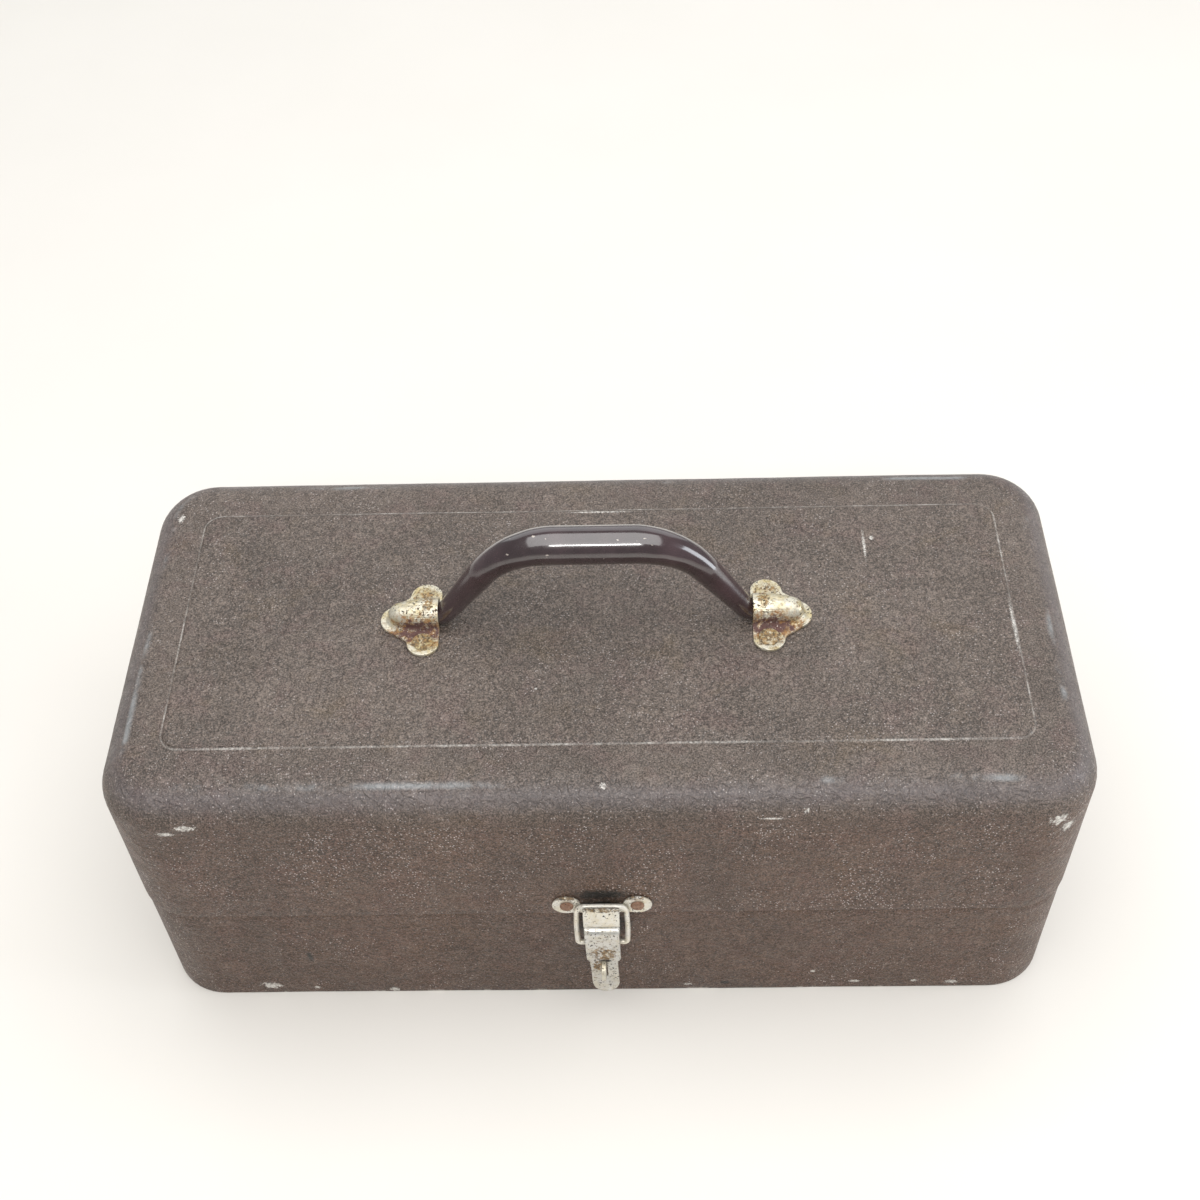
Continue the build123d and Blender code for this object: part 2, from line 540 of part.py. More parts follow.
def nodes():
    bracket = handle_bracket()
    arm = tray_arm()
    made = {
        "base_wall": base_wall(),
        "base_bottom": base_bottom(),
        "hinge_leaf_base": hinge_leaf(0, -1, BACK_Y - BASE_INSET),
        "hinge_pin": hinge_pin(),
        "hinge_rivets_base": group(hinge_rivets(-1, BACK_Y - BASE_INSET, 2 * SHEET)),
        "latch_base_plate": latch_base_plate(),
        "latch_base_rivets": group(latch_base_rivets()),
        "latch_pin": latch_pin(),
        "padlock_staple": padlock_staple(),
        "tray_studs_base": group(both_ends(stud_on_base())),
        "lid_shell": lid_shell(),
        "hinge_leaf_lid": hinge_leaf(1, 1, BACK_Y),
        "hinge_rivets_lid": group(hinge_rivets(1, BACK_Y, SHEET)),
        "handle_bracket_right": bracket,
        "handle_bracket_left": mirror(bracket, Plane.YZ),
        "handle_bracket_rivets": group(bracket_rivets()),
        "latch_keeper": latch_keeper(),
        "latch_keeper_rivets": group(keeper_rivets()),
        "tray_studs_lid": group(both_ends(stud_on_lid())),
        "handle_grip": handle_grip(),
        "latch_lever": latch_lever(),
        "latch_loop": latch_loop(),
        "tray_pan": tray_pan(),
        "tray_divider_long": long_divider(),
        "tray_arm_rivets": group(both_ends(rivet_on_tray())),
        "tray_arm_right": arm,
        "tray_arm_left": mirror(arm, Plane.YZ),
    }
    for n, x in enumerate(CROSS_DIVIDERS_X, start=1):
        made[f"tray_divider_{n}"] = cross_divider(x)
    return made


os.makedirs("parts", exist_ok=True)
for name, shape in nodes().items():
    export_step(shape, f"parts/{name}.step")
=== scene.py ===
import json
import math

import bmesh
import bpy
from mathutils import Matrix, Vector, noise


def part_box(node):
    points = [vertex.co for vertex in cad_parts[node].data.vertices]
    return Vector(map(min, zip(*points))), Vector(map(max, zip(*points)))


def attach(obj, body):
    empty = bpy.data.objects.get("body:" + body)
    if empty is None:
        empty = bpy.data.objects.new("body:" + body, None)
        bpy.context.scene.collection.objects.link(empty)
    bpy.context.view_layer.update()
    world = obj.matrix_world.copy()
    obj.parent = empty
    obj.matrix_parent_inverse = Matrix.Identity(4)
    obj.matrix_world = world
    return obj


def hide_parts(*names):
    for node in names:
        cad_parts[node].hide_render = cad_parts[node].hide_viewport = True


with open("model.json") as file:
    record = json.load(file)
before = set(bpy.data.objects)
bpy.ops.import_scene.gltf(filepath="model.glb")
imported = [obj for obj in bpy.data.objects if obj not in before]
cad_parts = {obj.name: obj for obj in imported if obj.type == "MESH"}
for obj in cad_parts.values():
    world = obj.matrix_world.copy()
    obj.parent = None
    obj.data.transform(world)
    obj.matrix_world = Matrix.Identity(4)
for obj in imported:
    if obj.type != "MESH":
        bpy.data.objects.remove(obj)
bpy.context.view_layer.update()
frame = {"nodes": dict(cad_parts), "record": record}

MM = 0.001
scene = bpy.context.scene

# the case: its box comes from the frame, its sheet and radii are those of the real pressing
LID_LOW, LID_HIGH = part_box("lid_shell")
BASE_TOP_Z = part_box("base_wall")[1].z
GRIP_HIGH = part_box("handle_grip")[1]
TRAY_LOW, TRAY_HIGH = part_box("tray_pan")
LEVER_LOW, LEVER_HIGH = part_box("latch_lever")
JOINT = {joint["name"]: Vector(joint["pos_m"]) for joint in frame["record"]["behaviour"]["joints"]}
SHEET = 1.0 * MM
CORNER_R = 22 * MM
TOP_R = 14 * MM
PANEL_RISE = 0.8 * MM
PANEL_STEP = 1.0 * MM
PANEL_HALF_X, PANEL_HALF_Y, PANEL_R = 144.25 * MM, 52.5 * MM, 6.5 * MM
RIM_LOW_Z = 46 * MM
SEAM_GAP = 0.3 * MM
SEAM_Z = LID_LOW.z
PANEL_TOP_Z = LID_HIGH.z
TOP_Z = PANEL_TOP_Z - PANEL_RISE
WALL_TOP = TOP_Z - 4 * MM
FRONT_Y = LID_LOW.y
TRAY_SHEET = 1.2 * MM
TRAY_R = 17 * MM


# ---------------------------------------------------------------- camera, light and floor

def make_camera():
    """The camera stands in front of the case and above it, tilted a little."""
    place = Vector((0.0158, -0.3679, 0.5711))
    lens_mm, sensor_mm = 49.8, 36
    yaw, pitch, roll = (math.radians(a) for a in (-2.19, 49.65, -2.56))
    forward = Vector((math.sin(yaw) * math.cos(pitch), math.cos(yaw) * math.cos(pitch), -math.sin(pitch)))
    level = forward.cross(Vector((0, 0, 1))).normalized()
    upright = level.cross(forward)
    right = level * math.cos(roll) + upright * math.sin(roll)
    up = upright * math.cos(roll) - level * math.sin(roll)
    data = bpy.data.cameras.new("camera")
    data.sensor_width = sensor_mm
    data.lens = lens_mm
    data.clip_start = 0.01
    camera = bpy.data.objects.new("camera", data)
    scene.collection.objects.link(camera)
    turn = Matrix((right, up, -forward)).transposed().to_4x4()
    camera.matrix_world = Matrix.Translation(place) @ turn
    scene.camera = camera


def area_light(name, place, size, watts, colour=(1, 1, 1)):
    """A soft rectangular light that faces the top of the case."""
    data = bpy.data.lights.new(name, "AREA")
    data.shape = "RECTANGLE"
    data.size, data.size_y = size
    data.energy = watts
    data.color = colour
    light = bpy.data.objects.new(name, data)
    light.location = place
    aim = Vector((0, 0, TOP_Z)) - light.location
    light.rotation_euler = aim.to_track_quat("-Z", "Y").to_euler()
    scene.collection.objects.link(light)


def make_light():
    scene.view_settings.view_transform = "Standard"
    world = bpy.data.worlds.new("studio")
    world.use_nodes = True
    background = world.node_tree.nodes["Background"]
    background.inputs["Color"].default_value = (0.97, 0.99, 1.0, 1)
    background.inputs["Strength"].default_value = 0.33
    scene.world = world
    area_light("front_strip", (0.05, -1.05, 1.28), (0.5, 0.16), 6.0, (1.0, 0.99, 0.97))
    area_light("overhead", (0.0, -0.15, 1.60), (2.0, 2.0), 29, (1.0, 0.99, 0.98))
    area_light("back_wall", (0.0, 1.60, 0.90), (3.0, 1.2), 9, (0.97, 0.99, 1.0))
    area_light("right_window", (1.5, -0.10, 0.50), (0.6, 1.1), 9.0, (0.90, 0.95, 1.0))


def make_floor():
    size = 3.0
    mesh = bpy.data.meshes.new("floor")
    corners = [(-size, -size, 0), (size, -size, 0), (size, size, 0), (-size, size, 0)]
    mesh.from_pydata(corners, [], [(0, 1, 2, 3)])
    floor = bpy.data.objects.new("floor", mesh)
    scene.collection.objects.link(floor)
    paint = Paint("pale_floor")
    tone = paint.mix(paint.noise(9, 3), (0.78, 0.75, 0.70), (0.82, 0.79, 0.745))
    paint.finish(tone, 0.6)
    floor.data.materials.append(paint.material)


# ---------------------------------------------------------------- node materials

class Paint:
    """Builds one procedural material. Places are in the object's own metres, so they move with it."""

    def __init__(self, name):
        self.material = bpy.data.materials.new(name)
        self.material.use_nodes = True
        self.tree = self.material.node_tree
        self.tree.nodes.clear()
        self.place = self.add("ShaderNodeTexCoord").outputs["Object"]
        self.shader = self.add("ShaderNodeBsdfPrincipled")
        output = self.add("ShaderNodeOutputMaterial")
        self.tree.links.new(self.shader.outputs[0], output.inputs["Surface"])

    def add(self, kind, inputs=None, **settings):
        node = self.tree.nodes.new(kind)
        for key, value in settings.items():
            setattr(node, key, value)
        for key, value in (inputs or {}).items():
            self.feed(node.inputs[key], value)
        return node

    def feed(self, socket, value):
        if isinstance(value, bpy.types.NodeSocket):
            self.tree.links.new(value, socket)
        elif socket.type == "RGBA" and len(value) == 3:
            socket.default_value = (*value, 1)
        else:
            socket.default_value = value

    def noise(self, scale, detail=2.0, rough=0.5, distortion=0.0, place=None):
        inputs = {"Vector": place or self.place, "Scale": scale, "Detail": detail}
        inputs.update({"Roughness": rough, "Distortion": distortion})
        return self.add("ShaderNodeTexNoise", inputs).outputs["Fac"]

    def cells(self, scale, output="Distance"):
        return self.add("ShaderNodeTexVoronoi", {"Vector": self.place, "Scale": scale}).outputs[output]

    def band(self, value, low, high, to_low=0.0, to_high=1.0):
        """value, stretched from low..high to to_low..to_high and held at the ends."""
        inputs = {"Value": value, "From Min": low, "From Max": high, "To Min": to_low, "To Max": to_high}
        return self.add("ShaderNodeMapRange", inputs, interpolation_type="SMOOTHSTEP").outputs[0]

    def math(self, operation, a, b=0.0):
        return self.add("ShaderNodeMath", {0: a, 1: b}, operation=operation).outputs[0]

    def times(self, a, b):
        return self.math("MULTIPLY", a, b)

    def most(self, masks):
        """The largest of several masks."""
        total = masks[0]
        for mask in masks[1:]:
            total = self.math("MAXIMUM", total, mask)
        return total

    def mix(self, amount, a, b, blend="MIX"):
        node = self.add("ShaderNodeMix", data_type="RGBA", blend_type=blend)
        self.feed(node.inputs[0], amount)
        self.feed(node.inputs[6], a)
        self.feed(node.inputs[7], b)
        return node.outputs[2]

    def grey(self, colour):
        return self.add("ShaderNodeRGBToBW", {0: colour}).outputs[0]

    def vector(self, operation, a, b=(0, 0, 0), output=0):
        return self.add("ShaderNodeVectorMath", {0: a, 1: b}, operation=operation).outputs[output]

    def axis(self, name):
        return self.add("ShaderNodeSeparateXYZ", {0: self.place}).outputs[name]

    def at_height(self, low, peak, high):
        """1 at one height, falling away to 0 at a height below it and one above it."""
        rising = self.band(self.axis("Z"), low, peak)
        falling = self.band(self.axis("Z"), peak, high, 1.0, 0.0)
        return self.times(rising, falling)

    def blob(self, centre, size, ragged=0.45, edge=0.3):
        """1 inside an uneven blob round a point, 0 outside. size is its half-size along each axis."""
        moved = self.vector("SUBTRACT", self.place, centre)
        unit = self.vector("DIVIDE", moved, size)
        far = self.vector("LENGTH", unit, output="Value")
        wobble = self.band(self.noise(1.6 / min(size), 3, 0.6), 0.3, 0.7, -ragged, ragged)
        return self.band(self.math("ADD", far, wobble), 1 - edge, 1 + edge, 1.0, 0.0)

    def patches(self, marks, ragged=0.45, edge=0.3, grow=1.0):
        """1 inside any of the marks, which are (place, half-sizes) in millimetres."""
        blobs = []
        for place, size in marks:
            sizes = tuple(s * grow * MM for s in size)
            blobs.append(self.blob(Vector(place) * MM, sizes, ragged, edge))
        return self.most(blobs)

    def outside(self, half_x, half_y, radius):
        """How far a place is outside a rounded rectangle drawn in X and Y; negative inside."""
        size = self.vector("ABSOLUTE", self.place)
        over = self.vector("SUBTRACT", size, (half_x - radius, half_y - radius, 0))
        over = self.vector("MULTIPLY", over, (1, 1, 0))
        over = self.vector("MAXIMUM", over, (0, 0, 0))
        return self.math("SUBTRACT", self.vector("LENGTH", over, output="Value"), radius)

    def bump(self, height, distance, strength=1.0, after=None):
        inputs = {"Height": height, "Distance": distance, "Strength": strength}
        if after is not None:
            inputs["Normal"] = after
        return self.add("ShaderNodeBump", inputs).outputs[0]

    def finish(self, colour, roughness, normal=None, metallic=0.0, **fixed):
        self.feed(self.shader.inputs["Base Color"], colour)
        self.feed(self.shader.inputs["Roughness"], roughness)
        self.feed(self.shader.inputs["Metallic"], metallic)
        if normal is not None:
            self.feed(self.shader.inputs["Normal"], normal)
        for key, value in fixed.items():
            self.shader.inputs[key.replace("_", " ")].default_value = value
        return self.material


# worn places on the lid: where, and half-size along each axis, in millimetres
LID_SCUFFS = (
    ((-154, 52, 126), (1.2, 1.6, 2)), ((2.6, -68, 125), (0.9, 0.9, 1.5)), ((152, -63, 123), (1.6, 1.2, 2)),
    ((68, -76, 120), (1.0, 2, 1.6)), ((57, -76, 116.6), (3.2, 2, 0.35)), ((-134, -76, 115), (3.2, 2, 1.1)),
    ((-141, -76, 112), (2.4, 2, 0.9)), ((150, -76, 113), (3.2, 3, 2.4)), ((154, -74, 107), (2.0, 3, 2.6)),
    ((99, 36, 128), (0.8, 0.8, 1)), ((36, 30, 128), (0.5, 0.5, 1)), ((-20, -30, 128), (0.5, 0.5, 1)),
)
LID_HAIRS = (((1, 51, 128), (9, 0.35, 1)), ((96, 33, 128), (0.4, 5, 1)), ((143.6, -6, 127), (0.5, 8, 1.5)))
# painted shade and grime: near-black patches on the lid's face behind the latch, above the loop's bar and
# behind the keeper, where the latch shades the lid
LID_LATCH_SHADE_AND_GRIME = (((0.5, -76.2, 70.6), (8.5, 2.5, 3.0)), ((0, -76.2, 62), (8.5, 2.5, 5.5)))
BASE_SCUFFS = (
    ((-125, -76, 6), (3.4, 2, 2.0)), ((-79, -76, 2), (1.6, 2, 1.3)), ((31, -76, 4), (1.2, 2, 0.8)),
    ((93, -76, 5), (1.8, 2, 0.9)), ((115, -76, 5), (1.2, 2, 0.8)), ((129, -76, 4), (2.2, 2, 1.0)),
    ((77, -76, 13), (0.8, 2, 0.8)), ((-108, -76, 4), (1.0, 2, 0.9)),
)
# grime spots on the base; the patch at the middle is painted shade behind the latch plate, seen beside the
# lever
BASE_GRIME_AND_LATCH_SHADE = (
    ((45, -76, 5), (1.6, 2, 1.4)), ((-107, -76, 28), (1.0, 2, 3.2)), ((0, -75.7, 50), (8.5, 2.5, 6)),
)


def crinkle(paint):
    """Heights of a crinkled enamel: wrinkles three millimetres wide, and a fine grain over them."""
    wrinkle = paint.band(paint.noise(300, 3, 0.55, 1.3), 0.36, 0.64)
    grain = paint.noise(1900, 2, 0.6, 0.3)
    return wrinkle, grain


def scaled(colour, by):
    """A colour times one number, or times another colour."""
    factors = by if isinstance(by, tuple) else (by, by, by)
    return tuple(c * k for c, k in zip(colour, factors))


def clouded(paint, light, dark):
    """The enamel's own colour, drifting between dark and light, plum and ochre."""
    clouds = paint.band(paint.noise(22, 5, 0.65, 0.6), 0.34, 0.66)
    tone = paint.mix(clouds, dark, light)
    plum = paint.band(paint.noise(62, 4, 0.6, 0.4), 0.47, 0.68, 0.0, 0.50)
    tone = paint.mix(plum, tone, scaled(light, (0.98, 0.80, 0.86)))
    ochre = paint.band(paint.noise(46, 4, 0.65, 0.4), 0.52, 0.72, 0.0, 0.60)
    return paint.mix(ochre, tone, scaled(light, (0.90, 0.82, 0.62)))


def pit_shade_and_grime(paint, tone, dark, wrinkle, grain, wall):
    """Painted shade, with some grime: darkens the pits between the grains, more on the walls, and the
    bottoms of the wrinkles.
    """
    # painted shade in the grain pits, deeper on the walls, and in the wrinkles' grooves, with some grime
    valley = paint.band(grain, 0.40, 0.49, 1.0, 0.0)
    deep = paint.band(wall, 0.0, 1.0, 0.66, 0.86)
    tone = paint.mix(paint.times(valley, deep), tone, scaled(dark, 0.22))
    groove = paint.band(wrinkle, 0.0, 0.45, 1.0, 0.0)
    return paint.mix(paint.times(groove, 0.30), tone, scaled(dark, 0.35))


def painted_roll_sheen(paint, tone):
    """The lid's rolled edge: a dull grey-violet painted reflection on the roll, with broken painted
    highlight streaks along its crown.
    """
    violet = paint.at_height(WALL_TOP - 5 * MM, WALL_TOP + 1 * MM, TOP_Z)
    # painted reflection: a grey-violet tint over the roll
    tone = paint.mix(paint.times(violet, 0.45), tone, (0.150, 0.132, 0.138))
    crown = paint.at_height(TOP_Z - 1.9 * MM, TOP_Z - 1.2 * MM, TOP_Z - 0.5 * MM)
    patchy = paint.band(paint.noise(28, 4, 0.6), 0.52, 0.64, 0.0, 0.60)
    # painted highlight: broken pale streaks along the crown
    return paint.mix(paint.times(crown, patchy), tone, (0.36, 0.38, 0.39))


def sparkled(paint, tone, wall):
    """Pale glinting dots about a millimetre apart, in drifts, paler on the walls."""
    dots_per_metre = 1040
    dot = paint.band(paint.cells(dots_per_metre), 0.12, 0.34, 1.0, 0.0)
    chosen = paint.band(paint.grey(paint.cells(dots_per_metre, "Color")), 0.56, 0.66)
    drift = paint.band(paint.noise(40, 4, 0.6), 0.40, 0.62, 0.25, 1.0)
    sparkle = paint.times(paint.times(dot, chosen), drift)
    glint = paint.mix(wall, (0.46, 0.41, 0.39), (0.80, 0.72, 0.70))
    return paint.mix(paint.times(sparkle, 0.85), tone, glint)


def wear_and_edge_highlight_mask(paint, scuffs, hairs, edge, low_edge):
    """Where the enamel is worn through, or None: scuffs, hairlines, the panel's edge and the foot. The
    panel's edge is a pale line of painted highlight on its step, broken up with some rubbed wear.
    """
    worn = []
    if scuffs:
        worn.append(paint.patches(scuffs))
    if hairs:
        worn.append(paint.patches(hairs, ragged=0.8))
    if edge is not None:
        # painted highlight along the panel's step slope, broken up as rubbed paint
        rubbed = paint.band(paint.math("ABSOLUTE", paint.outside(*edge)), 0.12 * MM, 0.5 * MM, 1.0, 0.0)
        patchy = paint.band(paint.noise(60, 4, 0.7), 0.40, 0.66, 0.12, 0.60)
        worn.append(paint.times(rubbed, patchy))
    if low_edge:
        near = paint.band(paint.axis("Z"), 0.5 * MM, 1.8 * MM, 1.0, 0.0)
        broken = paint.band(paint.noise(85, 4, 0.7), 0.58, 0.63, 0.0, 0.8)
        worn.append(paint.times(near, broken))
    if not worn:
        return None
    flecked = paint.band(paint.noise(900, 3, 0.6), 0.35, 0.6, 0.35, 1.0)
    return paint.times(paint.most(worn), flecked)


def enamel(name, light, dark, scuffs=(), hairs=(), grime_and_shade=(), edge=None, low_edge=False, rolled=False):
    """Crinkled enamel. The lid (rolled) and the base (low_edge) are painted darker and redder on their
    walls, as painted shade and a painted reflection of a warm floor.
    """
    paint = Paint(name)
    wrinkle, grain = crinkle(paint)
    outer = rolled or low_edge
    wall = paint.band(paint.axis("Z"), WALL_TOP - 14 * MM, WALL_TOP, 1.0, 0.0) if outer else 0.0
    tone = pit_shade_and_grime(paint, clouded(paint, light, dark), dark, wrinkle, grain, wall)
    # painted shade and painted warm floor reflection: the walls multiplied darker and redder than the top
    tone = paint.mix(wall, tone, (0.84, 0.60, 0.46), "MULTIPLY")
    # pale grain crests, redder on the walls with the same painted floor reflection
    crest = paint.band(grain, 0.53, 0.61, 0.0, 0.46)
    pale = paint.mix(wall, scaled(light, 2.1), (0.30, 0.205, 0.165))
    tone = paint.mix(crest, tone, pale)
    if rolled:
        # painted reflection and painted highlight on the rolled edge
        tone = painted_roll_sheen(paint, tone)
    tone = sparkled(paint, tone, wall)
    # near-black patches: painted shade behind the latch, with grime
    if grime_and_shade:
        dirt_and_shade = paint.patches(grime_and_shade, ragged=0.25, edge=0.5)
        tone = paint.mix(paint.times(dirt_and_shade, 0.95), tone, (0.006, 0.005, 0.004))
    rough = paint.band(paint.noise(130, 3), 0.3, 0.7, 0.42, 0.58)
    bare = wear_and_edge_highlight_mask(paint, scuffs, hairs, edge, low_edge)
    if bare is not None:
        # pale where worn through, and the painted highlight along the panel's step
        tone = paint.mix(bare, tone, (0.76, 0.73, 0.68))
        rough = paint.mix(bare, rough, (0.75, 0.75, 0.75))
    normal = paint.bump(wrinkle, 0.50 * MM, 1.0)
    normal = paint.bump(grain, 0.20 * MM, 0.8, normal)
    return paint.finish(tone, rough, normal, 0.0, Coat_Weight=0.12, Coat_Roughness=0.30)


def handle_enamel():
    """Glossy dark maroon enamel, a little orange-peeled, with chips and dull rubbed places."""
    paint = Paint("handle_enamel")
    cloud = paint.band(paint.noise(60, 4, 0.6), 0.35, 0.7)
    tone = paint.mix(cloud, (0.022, 0.009, 0.011), (0.046, 0.021, 0.025))
    chip = paint.band(paint.noise(520, 2, 0.5), 0.725, 0.745)
    on_grip = paint.band(paint.axis("Z"), GRIP_HIGH.z - 14 * MM, GRIP_HIGH.z - 4 * MM)
    tone = paint.mix(paint.times(chip, on_grip), tone, (0.46, 0.40, 0.35))
    haze = paint.band(paint.noise(30, 3), 0.45, 0.75, 0.0, 0.4)
    tone = paint.mix(haze, tone, (0.060, 0.045, 0.050))
    rough = paint.band(paint.noise(90, 4, 0.65), 0.35, 0.75, 0.16, 0.36)
    ripple = paint.math("ADD", paint.noise(330, 2), paint.noise(90, 2))
    normal = paint.bump(ripple, 0.05 * MM, 0.35)
    return paint.finish(tone, rough, normal, 0.0, Coat_Weight=1.0, Coat_Roughness=0.10, Coat_IOR=1.75)


def plating(name, bright, stain=0.45, rust=(), crust=(), holes_and_shade=(), pits=0.62, metal=0.55,
            polish=(0.28, 0.46), scab=((0.060, 0.032, 0.012), (0.32, 0.19, 0.068))):
    """Cream-silver plating gone dull: pinholes, ochre stains, crusted patches, purple-brown rust, and
    near-black marks: a torn pit, and painted shade in a slot.
    """
    paint = Paint(name)
    cloud = paint.band(paint.noise(230, 5, 0.7), 0.40, 0.66, 0.0, stain)
    tone = paint.mix(cloud, bright, tuple(b * s for b, s in zip(bright, (0.80, 0.68, 0.40))))
    dull = paint.band(paint.noise(90, 3), 0.4, 0.7, 0.0, 0.40)
    tone = paint.mix(dull, tone, tuple(b * 0.66 for b in bright))
    drift = paint.band(paint.noise(150, 3, 0.6), 0.38, 0.60, 0.25, 1.0)
    freckle = paint.times(drift, paint.band(paint.noise(700, 4, 0.7), pits, pits + 0.04))
    tone = paint.mix(paint.times(freckle, 0.85), tone, (0.15, 0.085, 0.030))
    speck = paint.times(drift, paint.band(paint.noise(1300, 2, 0.5), pits + 0.01, pits + 0.05))
    tone = paint.mix(speck, tone, (0.028, 0.020, 0.012))
    bare = paint.math("MAXIMUM", freckle, speck)
    if crust:
        patch = paint.patches(crust, ragged=0.30, edge=0.25)
        broken = paint.band(paint.noise(640, 5, 0.75), 0.41, 0.49)
        flaky = paint.mix(paint.band(paint.noise(1100, 3), 0.35, 0.65), *scab)
        patch = paint.times(patch, broken)
        tone = paint.mix(paint.times(patch, 0.9), tone, flaky)
        bare = paint.math("MAXIMUM", bare, patch)
    if rust:
        halo = paint.patches(rust, ragged=0.6, edge=0.5, grow=1.5)
        halo = paint.times(halo, paint.band(paint.noise(560, 4, 0.7), 0.38, 0.54))
        orange = paint.mix(paint.noise(900, 3), (0.16, 0.065, 0.018), (0.42, 0.21, 0.060))
        tone = paint.mix(paint.times(halo, 0.9), tone, orange)
        core = paint.patches(rust, ragged=0.45, edge=0.35)
        brown = paint.mix(paint.noise(1100, 4), (0.045, 0.018, 0.016), (0.150, 0.075, 0.070))
        brown = paint.mix(paint.band(paint.noise(1500, 2), 0.66, 0.70), brown, (0.60, 0.50, 0.45))
        tone = paint.mix(paint.times(core, 0.95), tone, brown)
        bare = paint.most([bare, halo, core])
    if holes_and_shade:
        hole_and_shade = paint.patches(holes_and_shade, ragged=0.15, edge=0.3)
        # near-black: torn holes, and painted shade where a slot lies in shadow
        tone = paint.mix(hole_and_shade, tone, (0.012, 0.010, 0.012))
        bare = paint.math("MAXIMUM", bare, hole_and_shade)
    rough = paint.band(paint.noise(420, 3), 0.3, 0.7, *polish)
    rough = paint.math("MAXIMUM", rough, paint.times(bare, 0.8))
    relief = paint.math("SUBTRACT", paint.noise(900, 4, 0.6), paint.times(speck, 1.2))
    normal = paint.bump(relief, 0.12 * MM, 0.75)
    clean = paint.math("SUBTRACT", 1.0, bare)
    return paint.finish(tone, rough, normal, paint.times(clean, metal))


def rusty(name, low, high):
    """A bare rivet gone dull brown."""
    paint = Paint(name)
    tone = paint.mix(paint.band(paint.noise(700, 4, 0.65), 0.3, 0.7), low, high)
    tone = paint.mix(paint.band(paint.noise(1500, 2), 0.62, 0.68), tone, (0.03, 0.015, 0.01))
    normal = paint.bump(paint.noise(1100, 4, 0.65), 0.10 * MM, 0.8)
    return paint.finish(tone, 0.6, normal, 0.2)


def zinc_steel():
    """Plain dull zinc on the hinge, arms and studs, with fine brushing and a few stains."""
    paint = Paint("zinc_steel")
    along = paint.vector("MULTIPLY", paint.place, (0.06, 1, 1))
    brushed = paint.noise(900, 3, 0.6, place=along)
    tone = paint.mix(brushed, (0.26, 0.255, 0.24), (0.47, 0.46, 0.43))
    spangle = paint.cells(260, "Color")
    tone = paint.mix(0.18, tone, paint.grey(spangle), "OVERLAY")
    stain = paint.band(paint.noise(120, 4, 0.65), 0.56, 0.68)
    tone = paint.mix(paint.times(stain, 0.7), tone, (0.20, 0.11, 0.055))
    rough = paint.band(brushed, 0.3, 0.7, 0.30, 0.48)
    normal = paint.bump(brushed, 0.03 * MM, 0.5)
    return paint.finish(tone, rough, normal, 0.7)


# ---------------------------------------------------------------- mesh tools

def dress(piece, body, material, replaced=()):
    """Gives a new piece outward normals, smooth faces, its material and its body."""
    tidy = bmesh.new()
    tidy.from_mesh(piece.data)
    bmesh.ops.recalc_face_normals(tidy, faces=tidy.faces)
    tidy.to_mesh(piece.data)
    tidy.free()
    piece.data.polygons.foreach_set("use_smooth", [True] * len(piece.data.polygons))
    piece.data.materials.clear()
    piece.data.materials.append(material)
    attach(piece, body)
    if replaced:
        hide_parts(*replaced)
    return piece


def mesh_object(name, verts, faces):
    mesh = bpy.data.meshes.new(name)
    mesh.from_pydata([tuple(v) for v in verts], [], faces)
    piece = bpy.data.objects.new(name, mesh)
    scene.collection.objects.link(piece)
    return piece


def rounded_loop(half_x, half_y, radius, z, corner_steps=12, x_steps=64, y_steps=30):
    """A rounded rectangle as a loop of points, always the same number of them."""
    radius = max(min(radius, half_x, half_y), 0.2 * MM)
    in_x, in_y = half_x - radius, half_y - radius
    points = []
    for quarter, (sx, sy) in enumerate(((1, 1), (-1, 1), (-1, -1), (1, -1))):
        start = quarter * math.pi / 2
        for n in range(corner_steps + 1):
            angle = start + n / corner_steps * math.pi / 2
            turned = Vector((math.cos(angle), math.sin(angle), 0)) * radius
            points.append(Vector((sx * in_x, sy * in_y, z)) + turned)
        steps = x_steps if quarter % 2 == 0 else y_steps
        corner = points[-1]
        run = Vector((-2 * in_x, 0, 0)) if quarter == 0 else Vector((0, -2 * in_y, 0))
        if quarter >= 2:
            run = Vector((2 * in_x, 0, 0)) if quarter == 2 else Vector((0, 2 * in_y, 0))
        points.extend(corner + run * (n / steps) for n in range(1, steps))
    return points


def skin(loops, close=False, cap=False):
    """Faces between loops of one length. close joins the last to the first, cap fills the last."""
    count = len(loops[0])
    verts = [p for loop in loops for p in loop]
    faces = []
    for k in range(len(loops) if close else len(loops) - 1):
        low, high = k * count, (k + 1) % len(loops) * count
        for n in range(count):
            m = (n + 1) % count
            faces.append((low + n, low + m, high + m, high + n))
    if cap:
        faces.append(tuple(range(len(verts) - count, len(verts))))
    return verts, faces


def pressed(point, depth=0.16 * MM):
    """Moves a point of the case a little inwards, unevenly, as hand-pressed sheet is never flat."""
    core_x, core_y = LID_HIGH.x - CORNER_R, LID_HIGH.y - CORNER_R
    core = Vector((
        max(-core_x, min(core_x, point.x)),
        max(-core_y, min(core_y, point.y)),
        min(point.z, TOP_Z - CORNER_R),
    ))
    outward = (point - core).normalized()
    swell = noise.noise(point * 22) + 0.5 * noise.noise(point * 60)
    return point + outward * depth * (swell - 1.5)


